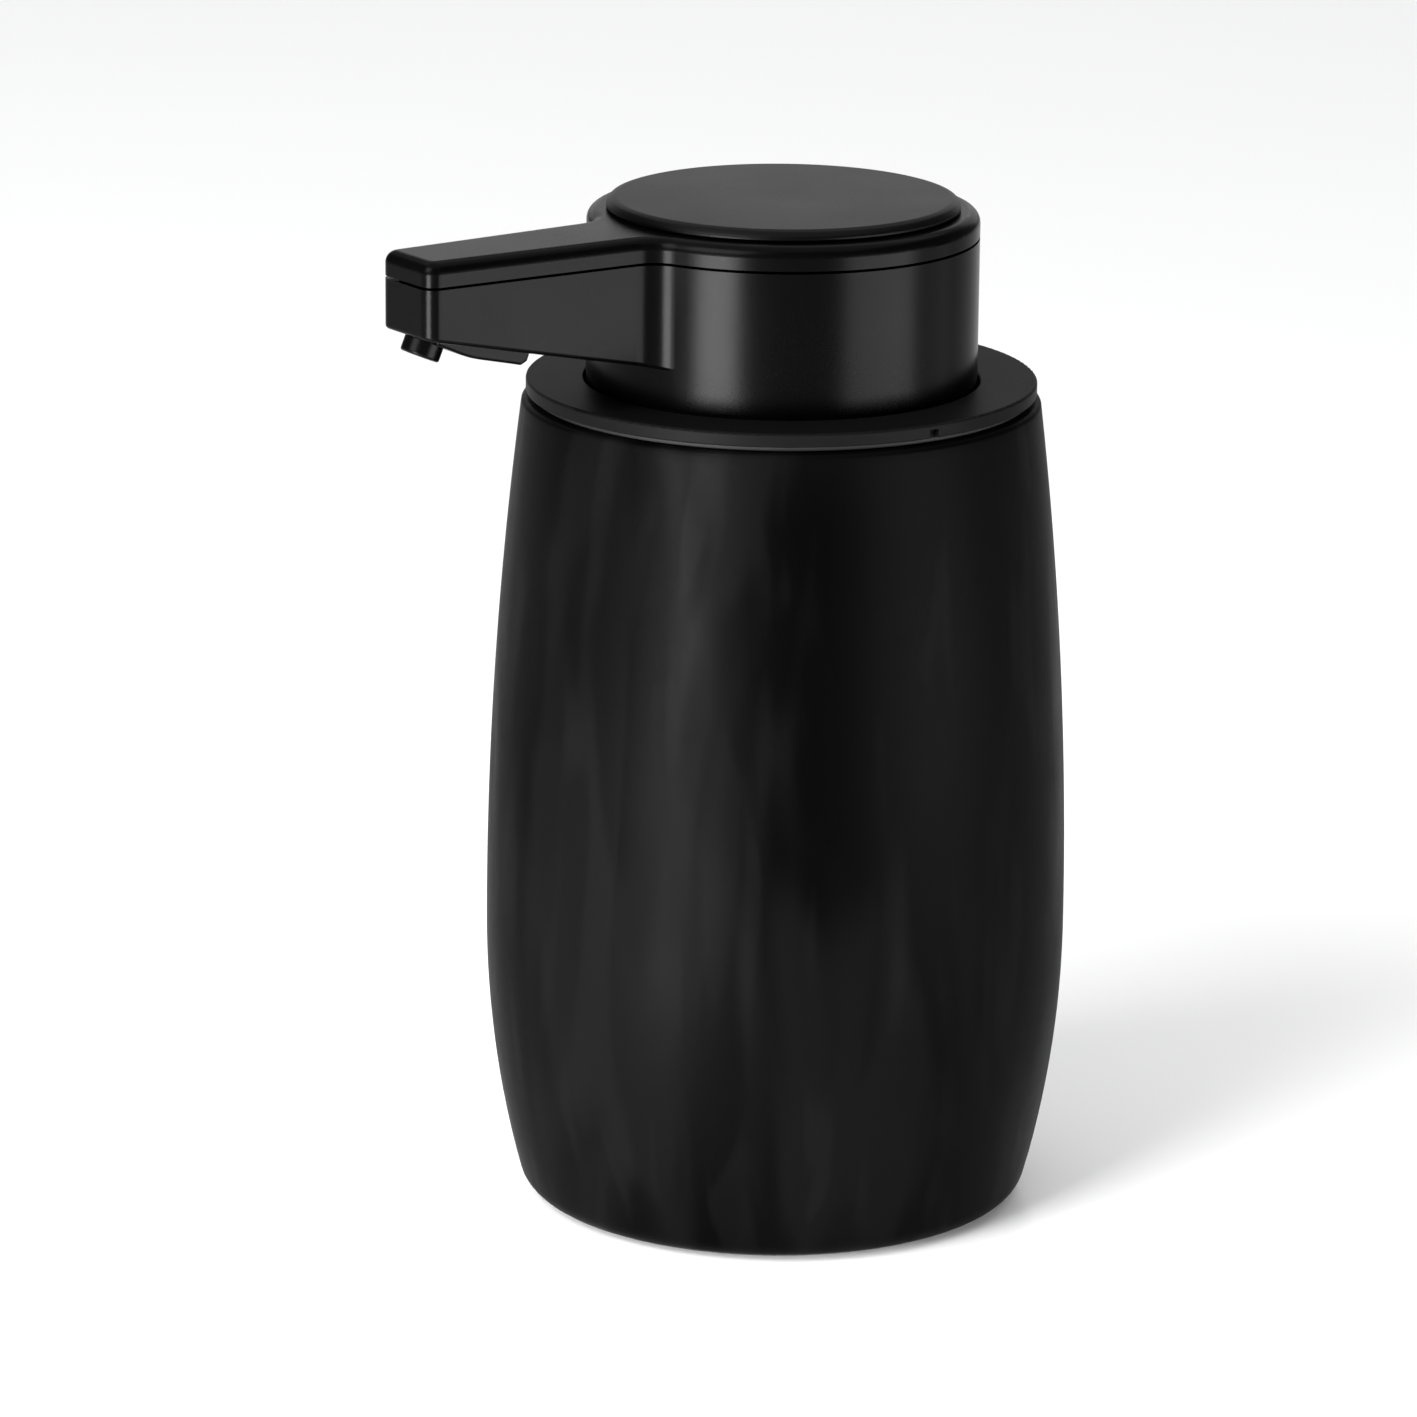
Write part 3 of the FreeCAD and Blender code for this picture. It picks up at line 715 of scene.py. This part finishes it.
# ---- Sub-assemblies -------------------------------------------------------------------------
@dataclass
class Bottle:
    """Barrel-shaped bottle with a wide mouth, and the anti-slip disc let into its foot."""

    widest: float = 42.0
    widest_height: float = 41.0
    belly: float = 147.0             # arc of the wall below the widest level
    shoulder: float = 610.0          # arc of the wall above it
    outer_steps: int = 40            # straight pieces along the outside of the wall
    outer_start: float = 6.0         # height over the underside at which they start
    outer_end: float = 2.0           # height under the rim at which they end
    inner_steps: int = 30
    inner_start: float = 4.0         # height under the neck
    inner_end: float = 6.0           # height over the floor
    round_steps: int = 8             # straight pieces in each rounding of the pot
    keep_angle: float = 40.0         # degrees above which an edge of the pot stays sharp
    rim: float = 118.5
    lip: float = 0.9
    mouth: float = 33.0
    mouth_round: float = 0.8
    neck: float = 107.0
    neck_round: float = 1.5
    wall: float = 3.0
    underside: float = 0.4
    floor: float = 4.4
    foot_round: float = 4.5
    disc: float = 30.0
    disc_high: float = 1.2
    disc_play: float = 0.05          # gap round the disc
    disc_side: float = 0.25          # height of the lower edge of the disc's side
    disc_round: float = 0.2
    recess_round: float = 0.3
    ring_count: int = 9
    ring_margin: float = 0.6
    ring_round: float = 0.1
    land: float = 1.5                # width of a ring where it stands
    slope: float = 0.3               # width of a ring's slope
    groove: float = 0.22             # height of the grooves between the rings
    hub: float = 0.9                 # radius of the middle stud
    ring_steps: int = 3              # straight pieces in each rounding of the disc

    def wall_radius(self, height: float) -> float:
        """Outside radius of the wall at a height, in millimetres."""
        bend = self.shoulder if height > self.widest_height else self.belly
        return self.widest - bend + math.sqrt(bend ** 2 - (height - self.widest_height) ** 2)

    def wall_stretch(self, low: float, high: float, inset: float, count: int) -> list[Corner]:
        """Unrounded corners along the wall between two heights."""
        heights = [low + (high - low) * step / count for step in range(count + 1)]
        return [(self.wall_radius(height) - inset, height, 0.0) for height in heights]

    def shell(self) -> bpy.types.Object:
        """The glazed pot, hollow, with a recess for the disc.

        Returns:
            The new object.
        """
        under = self.underside
        recess = self.disc + self.disc_play
        outside = [(0.0, self.disc_high, 0.0), (recess, self.disc_high, 0.0),
                   (recess, under, self.recess_round), (self.wall_radius(under), under, self.foot_round)]
        low, high = under + self.outer_start, self.rim - self.outer_end
        outside += self.wall_stretch(low, high, 0.0, self.outer_steps)
        lip = [(self.wall_radius(self.rim), self.rim, self.lip), (self.mouth, self.rim, self.mouth_round),
               (self.mouth, self.neck, self.mouth_round)]
        below = self.neck - self.inner_start
        inside = self.wall_stretch(below, self.floor + self.inner_end, self.wall, self.inner_steps)
        inside[0] = (inside[0][0], below, self.neck_round)
        inside += [(self.wall_radius(self.floor) - self.wall, self.floor, self.foot_round),
                   (0.0, self.floor, 0.0)]
        section = rounded_outline(outside + lip + inside, self.round_steps)
        return turned("bottle_pot", section, closed=False, keep_angle=self.keep_angle)

    def foot(self) -> bpy.types.Object:
        """Silicone disc with raised grip rings that the bottle stands on.

        Returns:
            The new object.
        """
        curve = self.ring_round
        corners = [(0.0, self.disc_high, 0.0), (self.disc, self.disc_high, curve),
                   (self.disc, self.disc_side, self.disc_round)]
        pitch = (self.disc - 2 * self.ring_margin) / self.ring_count
        for ring in range(self.ring_count):
            edge = self.disc - self.ring_margin - ring * pitch
            corners += [(edge, 0.0, curve), (edge - self.land, 0.0, curve),
                        (edge - self.land - self.slope, self.groove, curve),
                        (edge - pitch + self.slope, self.groove, curve)]
        corners += [(self.hub, 0.0, curve), (0.0, 0.0, 0.0)]
        return turned("foot_disc", rounded_outline(corners, self.ring_steps), closed=False)

    def build(self) -> None:
        """Makes and hands over both pieces."""
        hand_over(self.shell(), Body.BOTTLE, Slot.GLAZE, GLAZE, "bottle")
        hand_over(self.foot(), Body.BOTTLE, Slot.SILICONE, RUBBER, "base_pad")


@dataclass
class PressDisc:
    """Raised disc that the palm presses: flat on top, with a soft roll down to a thin foot, on four pegs."""

    radius: float = 25.2
    gap: float = 0.02                # height of the foot over the top cover
    foot_inset: float = 0.35
    foot_high: float = 0.3
    foot_round: float = 0.12
    side_round: float = 0.2
    shoulder: float = 0.75           # height at which the roll starts
    shoulder_round: float = 0.6
    roll: float = 1.3                # how far in the flat top ends
    roll_middle: float = 0.45        # share of that at the roll's middle corner
    roll_drop: float = 0.22          # how far that corner lies under the top
    roll_round: float = 0.8
    top_round: float = 1.6
    round_steps: int = 6             # straight pieces in each rounding
    peg: float = 1.5
    peg_ring: float = 14.0
    peg_count: int = 4
    peg_turn: float = 45.0           # degrees at which the first peg stands
    peg_grip: float = 0.4            # how far a peg reaches into the disc
    peg_facets: int = 32

    def peg_piece(self, turn: int, low: float, high: float) -> bpy.types.Object:
        """One peg under the disc.

        Args:
            turn: Which peg it is.
            low: Height of its foot in millimetres.
            high: Height of its top in millimetres.

        Returns:
            The new object.
        """
        angle = math.radians(self.peg_turn) + 2 * math.pi * turn / self.peg_count
        across, along = self.peg_ring * MM * math.cos(angle), self.peg_ring * MM * math.sin(angle)
        length = high - low
        deselect()
        bpy.ops.mesh.primitive_cylinder_add(
            vertices=self.peg_facets, radius=self.peg * MM, depth=length * MM,
            location=(across, along, (low + length / 2) * MM))
        return named("peg")

    def build(self) -> None:
        """Makes the disc with its pegs in the place of the CAD pad."""
        low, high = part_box("press_pad")
        top = high.z / MM
        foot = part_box("top_cover")[1].z / MM + self.gap
        corners = [(0.0, foot, 0.0), (self.radius - self.foot_inset, foot, self.foot_round),
                   (self.radius, foot + self.foot_high, self.side_round),
                   (self.radius, foot + self.shoulder, self.shoulder_round),
                   (self.radius - self.roll * self.roll_middle, top - self.roll_drop, self.roll_round),
                   (self.radius - self.roll, top, self.top_round), (0.0, top, 0.0)]
        disc = turned("press_disc", rounded_outline(corners, self.round_steps), closed=False)
        for turn in range(self.peg_count):
            combine(disc, self.peg_piece(turn, low.z / MM, foot + self.peg_grip), Join.ADD)
        smooth(disc)
        hand_over(disc, Body.HEAD, Slot.PAD, PRESS, "press_pad")


@dataclass
class MouthSeal:
    """Silicone sleeve round the well: a flange that the collar rests on and three soft lips."""

    inset: float = 5.85              # how far the sleeve's bore lies in from the collar's edge
    sleeve: float = 1.25             # wall of the sleeve
    flange: float = 0.7              # thickness of the flange
    flange_round: float = 0.18
    under_round: float = 0.3
    foot_round: float = 0.4
    lip_low: tuple[float, ...] = (115.2, 112.7, 110.2)
    lip_high: float = 1.4
    lip_reach: float = 1.05          # how far a lip stands out
    lip_round: float = 0.25
    lip_tip: float = 0.45            # height of a lip's edge over its root
    tip_low: float = 0.1             # heights of the edge's two corners over that
    tip_high: float = 0.55
    tip_round: float = 0.15
    round_steps: int = 4             # straight pieces in each rounding

    def build(self) -> None:
        """Makes the sleeve in the place of the CAD seal."""
        low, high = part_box("mouth_seal")
        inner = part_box("collar")[1].x / MM - self.inset
        edge, top, foot = high.x / MM, high.z / MM, low.z / MM
        root = inner + self.sleeve
        tip = root + self.lip_reach
        under = top - self.flange
        corners = [(inner, top, 0.0), (edge, top, self.flange_round), (edge, under, self.flange_round),
                   (root, under, self.under_round)]
        for start in self.lip_low:
            corners += [(root, start + self.lip_high, self.lip_round),
                        (tip, start + self.lip_tip + self.tip_high, self.tip_round),
                        (tip, start + self.lip_tip + self.tip_low, self.tip_round),
                        (root, start, self.lip_round)]
        corners += [(root, foot, self.foot_round), (inner, foot, 0.0)]
        seal = turned("mouth_sleeve", rounded_outline(corners, self.round_steps))
        hand_over(seal, Body.PUMP_TOP, Slot.SILICONE, RUBBER, "mouth_seal")


@dataclass
class DipTube:
    """Straight clear tube, cut slantwise at its foot so that it can't seal against the bottle's floor."""

    wall: float = 0.9
    edge_round: float = 0.15
    round_steps: int = 3             # straight pieces in each rounding
    facets: int = 48                 # facets round the tube
    slant: float = 24.0              # degrees from level
    knife: float = 20.0              # side of the cube that cuts the slant

    def build(self) -> None:
        """Makes the tube in the place of the CAD tube."""
        low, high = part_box("dip_tube")
        outer, foot, top = high.x / MM, low.z / MM, high.z / MM
        inner = outer - self.wall
        corners = [(inner, foot, 0.0), (inner, top, self.edge_round), (outer, top, self.edge_round),
                   (outer, foot, 0.0)]
        section = rounded_outline(corners + corners[:1], self.round_steps)[:-1]
        tube = turned("soap_tube", section, steps=self.facets)
        deselect()
        lean = math.radians(self.slant)
        drop = self.knife / 2 * math.cos(lean) - outer * math.sin(lean)
        bpy.ops.mesh.primitive_cube_add(size=self.knife * MM, rotation=(lean, 0.0, 0.0),
                                        location=(0.0, self.knife / 2 * math.sin(lean) * MM, 0.0))
        knife = named("knife")
        knife.location.z = (foot - drop) * MM
        combine(tube, knife, Join.CUT)
        smooth(tube)
        hand_over(tube, Body.PUMP_TOP, Slot.TUBE, TUBING, "dip_tube")


@dataclass
class ReturnSpring:
    """Coil spring round the stem, with closed end turns."""

    wire: float = 1.0
    mean: float = 8.0
    turns: float = 7.0
    closed_turns: float = 1.0
    steps: int = 40                  # facets in each turn
    facets: int = 14                 # facets round the wire
    keep_angle: float = 50.0         # degrees above which an edge stays sharp

    def rise(self, turn: float, height: float) -> float:
        """Height of the wire's middle over its start, in metres.

        Args:
            turn: Turns from the start.
            height: The whole rise.

        Returns:
            The rise up to that turn.
        """
        closed_rise = self.closed_turns * self.wire * MM
        if turn < self.closed_turns:
            return closed_rise * turn / self.closed_turns
        if turn > self.turns - self.closed_turns:
            return height - closed_rise * (self.turns - turn) / self.closed_turns
        open_turns = self.turns - 2 * self.closed_turns
        return closed_rise + (height - 2 * closed_rise) * (turn - self.closed_turns) / open_turns

    def coil(self, foot: float, height: float) -> bpy.types.Object:
        """The wire, drawn turn by turn from a disc.

        Args:
            foot: Height of the wire's middle at its start, in metres.
            height: The whole rise in metres.

        Returns:
            The new object.
        """
        deselect()
        bpy.ops.mesh.primitive_circle_add(
            vertices=self.facets, radius=self.wire * MM / 2, fill_type="NGON",
            location=(self.mean * MM, 0.0, foot), rotation=(math.pi / 2, 0.0, 0.0))
        piece = named("return_coil")
        bpy.ops.object.transform_apply(location=True, rotation=True, scale=True)
        turn_by = 2 * math.pi / self.steps
        bpy.ops.object.mode_set(mode="EDIT")
        bpy.ops.mesh.select_all(action="SELECT")
        for index in range(int(self.turns * self.steps)):
            climb = self.rise((index + 1) / self.steps, height) - self.rise(index / self.steps, height)
            bpy.ops.mesh.extrude_region_move(TRANSFORM_OT_translate={"value": (0.0, 0.0, climb)})
            bpy.ops.transform.rotate(value=turn_by, orient_axis="Z", center_override=(0.0, 0.0, 0.0))
        bpy.ops.mesh.select_all(action="SELECT")
        bpy.ops.mesh.normals_make_consistent(inside=False)
        bpy.ops.object.mode_set(mode="OBJECT")
        smooth(piece, self.keep_angle)
        return piece

    def build(self) -> None:
        """Makes the coil between the guide and the deck."""
        low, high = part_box("return_spring")
        foot, top = low.z + self.wire * MM / 2, high.z - self.wire * MM / 2
        piece = self.coil(foot, top - foot)
        hand_over(piece, Body.PUMP_TOP, Slot.STEEL, SPRING_STEEL, "return_spring")
        length = high.z - low.z
        travel = next(joint for joint in frame["joints"] if joint["name"] == "pump_press")["range_m"][1]
        (length - travel) / length
        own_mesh(piece)


KEPT_NODES: dict[str, Finish] = {
    "collar": PLATE,
    "cylinder_gasket": RUBBER,
    "pump_cylinder": NATURAL,
    "retaining_nut": NATURAL,
    "stem_guide": NATURAL,
    "stem_wiper": RUBBER,
    "inlet_ball": BALL_STEEL,
    "inlet_ball_cage": NATURAL,
    "stem": NATURAL,
    "piston": SOFT,
    "outlet_ball": BALL_STEEL,
    "head_housing": SHELL,
    "top_cover": SHELL,
    "outlet_elbow": NATURAL,
    "stem_seal": RUBBER,
    "spout_tube": CLEAR_RUBBER,
    "nozzle": TIP,
    "drip_valve": RUBBER,
    "service_cap": SHELL,
    "cover_screws": SCREW_STEEL,
}


# ---- Stage ----------------------------------------------------------------------------------
def direction(azimuth: float, elevation: float) -> Vector:
    """Unit vector from the object towards a view, in degrees."""
    a, e = math.radians(azimuth), math.radians(elevation)
    return Vector((math.sin(a) * math.cos(e), -math.cos(a) * math.cos(e), math.sin(e)))


@dataclass(frozen=True)
class Softbox:
    """One area light, aimed at the object."""

    name: str
    azimuth: float                   # degrees round the object, 0 in front of the spout
    elevation: float                 # degrees over the horizon
    distance: float
    size: Pair                       # width and height
    power: float                     # watts

    def build(self, target: Vector) -> None:
        """Makes the light.

        Args:
            target: The point that it faces.
        """
        lamp = bpy.data.lights.new(self.name, "AREA")
        lamp.shape = "RECTANGLE"
        lamp.size, lamp.size_y = self.size
        lamp.energy = self.power
        holder = bpy.data.objects.new(self.name, lamp)
        bpy.context.scene.collection.objects.link(holder)
        back = direction(self.azimuth, self.elevation)
        holder.location = target + back * self.distance
        holder.rotation_euler = back.to_track_quat("Z", "Y").to_euler()
        holder.visible_camera = False


@dataclass
class Studio:
    """Floor, even surroundings, soft lights and the camera."""

    camera_azimuth: float = 54.85    # degrees, as for the lights
    camera_elevation: float = 15.47
    camera_roll: float = 0.55
    camera_distance: float = 1.0
    lens: float = 175.8              # focal length in millimetres
    sensor: float = 36.0             # width in millimetres
    aim_height: float = 0.075        # height of the middle of the view
    aim_right: float = -0.00996      # how far the camera's aim lies beside and over that
    aim_up: float = -0.0030
    floor_size: float = 3.6
    floor_gap: float = 0.00002       # how far the floor lies under the foot
    sky: Colour = (1.0, 1.0, 1.0)
    surroundings: float = 0.12       # strength of the light from all round
    horizon: float = 0.93            # how pale the air past the floor looks
    lights: tuple[Softbox, ...] = (
        Softbox("overhead", 235.0, 82.0, 3.0, (5.0, 5.0), 112.0),
        Softbox("key", 10.0, 36.0, 1.5, (0.9, 0.9), 30.0),
        Softbox("backdrop", 235.0, 14.0, 2.2, (2.4, 1.0), 6.2),
        Softbox("left_strip", 17.0, -3.0, 0.36, (0.15, 0.11), 3.2),
        Softbox("right_strip", 112.0, -3.0, 0.40, (0.32, 0.11), 1.8),
        Softbox("side_fill", 150.0, -3.0, 0.45, (0.24, 0.11), 0.12),
    )

    def floor(self) -> None:
        """Pale floor under the object."""
        deselect()
        bpy.ops.mesh.primitive_plane_add(size=self.floor_size, location=(0, 0, -self.floor_gap))
        piece = named("floor")
        piece.data.materials.append(StudioFloor().material())

    def world(self) -> None:
        """Faint even light from all round, and a pale horizon behind the floor."""
        world = bpy.data.worlds.new("surroundings")
        bpy.context.scene.world = world
        graph = Graph(world)
        seen = graph.add("ShaderNodeLightPath", output="Is Camera Ray")
        strength = seen * (self.horizon - self.surroundings) + self.surroundings
        inputs = {"Color": (*self.sky, OPAQUE), "Strength": strength}
        background = graph.add("ShaderNodeBackground", None, inputs)
        graph.add("ShaderNodeOutputWorld", None, {"Surface": background}, None)

    def camera(self) -> None:
        """Camera with a long lens, a little above the object."""
        back = direction(self.camera_azimuth, self.camera_elevation)
        level = back.to_track_quat("Z", "Y")
        right, up = level @ Vector((1, 0, 0)), level @ Vector((0, 1, 0))
        target = Vector((0, 0, self.aim_height)) + right * self.aim_right + up * self.aim_up
        data = bpy.data.cameras.new("camera")
        data.lens = self.lens
        data.sensor_width = self.sensor
        holder = bpy.data.objects.new("camera", data)
        bpy.context.scene.collection.objects.link(holder)
        holder.location = target + back * self.camera_distance
        holder.rotation_mode = "QUATERNION"
        holder.rotation_quaternion = level @ Quaternion((0, 0, 1), math.radians(self.camera_roll))
        bpy.context.scene.camera = holder

    def build(self) -> None:
        """Sets the whole stage."""
        self.floor()
        self.world()
        for light in self.lights:
            light.build(Vector((0, 0, self.aim_height)))
        self.camera()
        bpy.context.scene.view_settings.view_transform = "Standard"


def main() -> None:
    """Builds every piece and the stage, in order."""
    logging.basicConfig(level=logging.INFO, format="%(name)s: %(message)s")
    Studio().build()
    Bottle().build()
    MouthSeal().build()
    DipTube().build()
    ReturnSpring().build()
    PressDisc().build()
    for node, finish in KEPT_NODES.items():
        dress(node, finish)
    deselect()


if __name__ == "__main__":
    main()
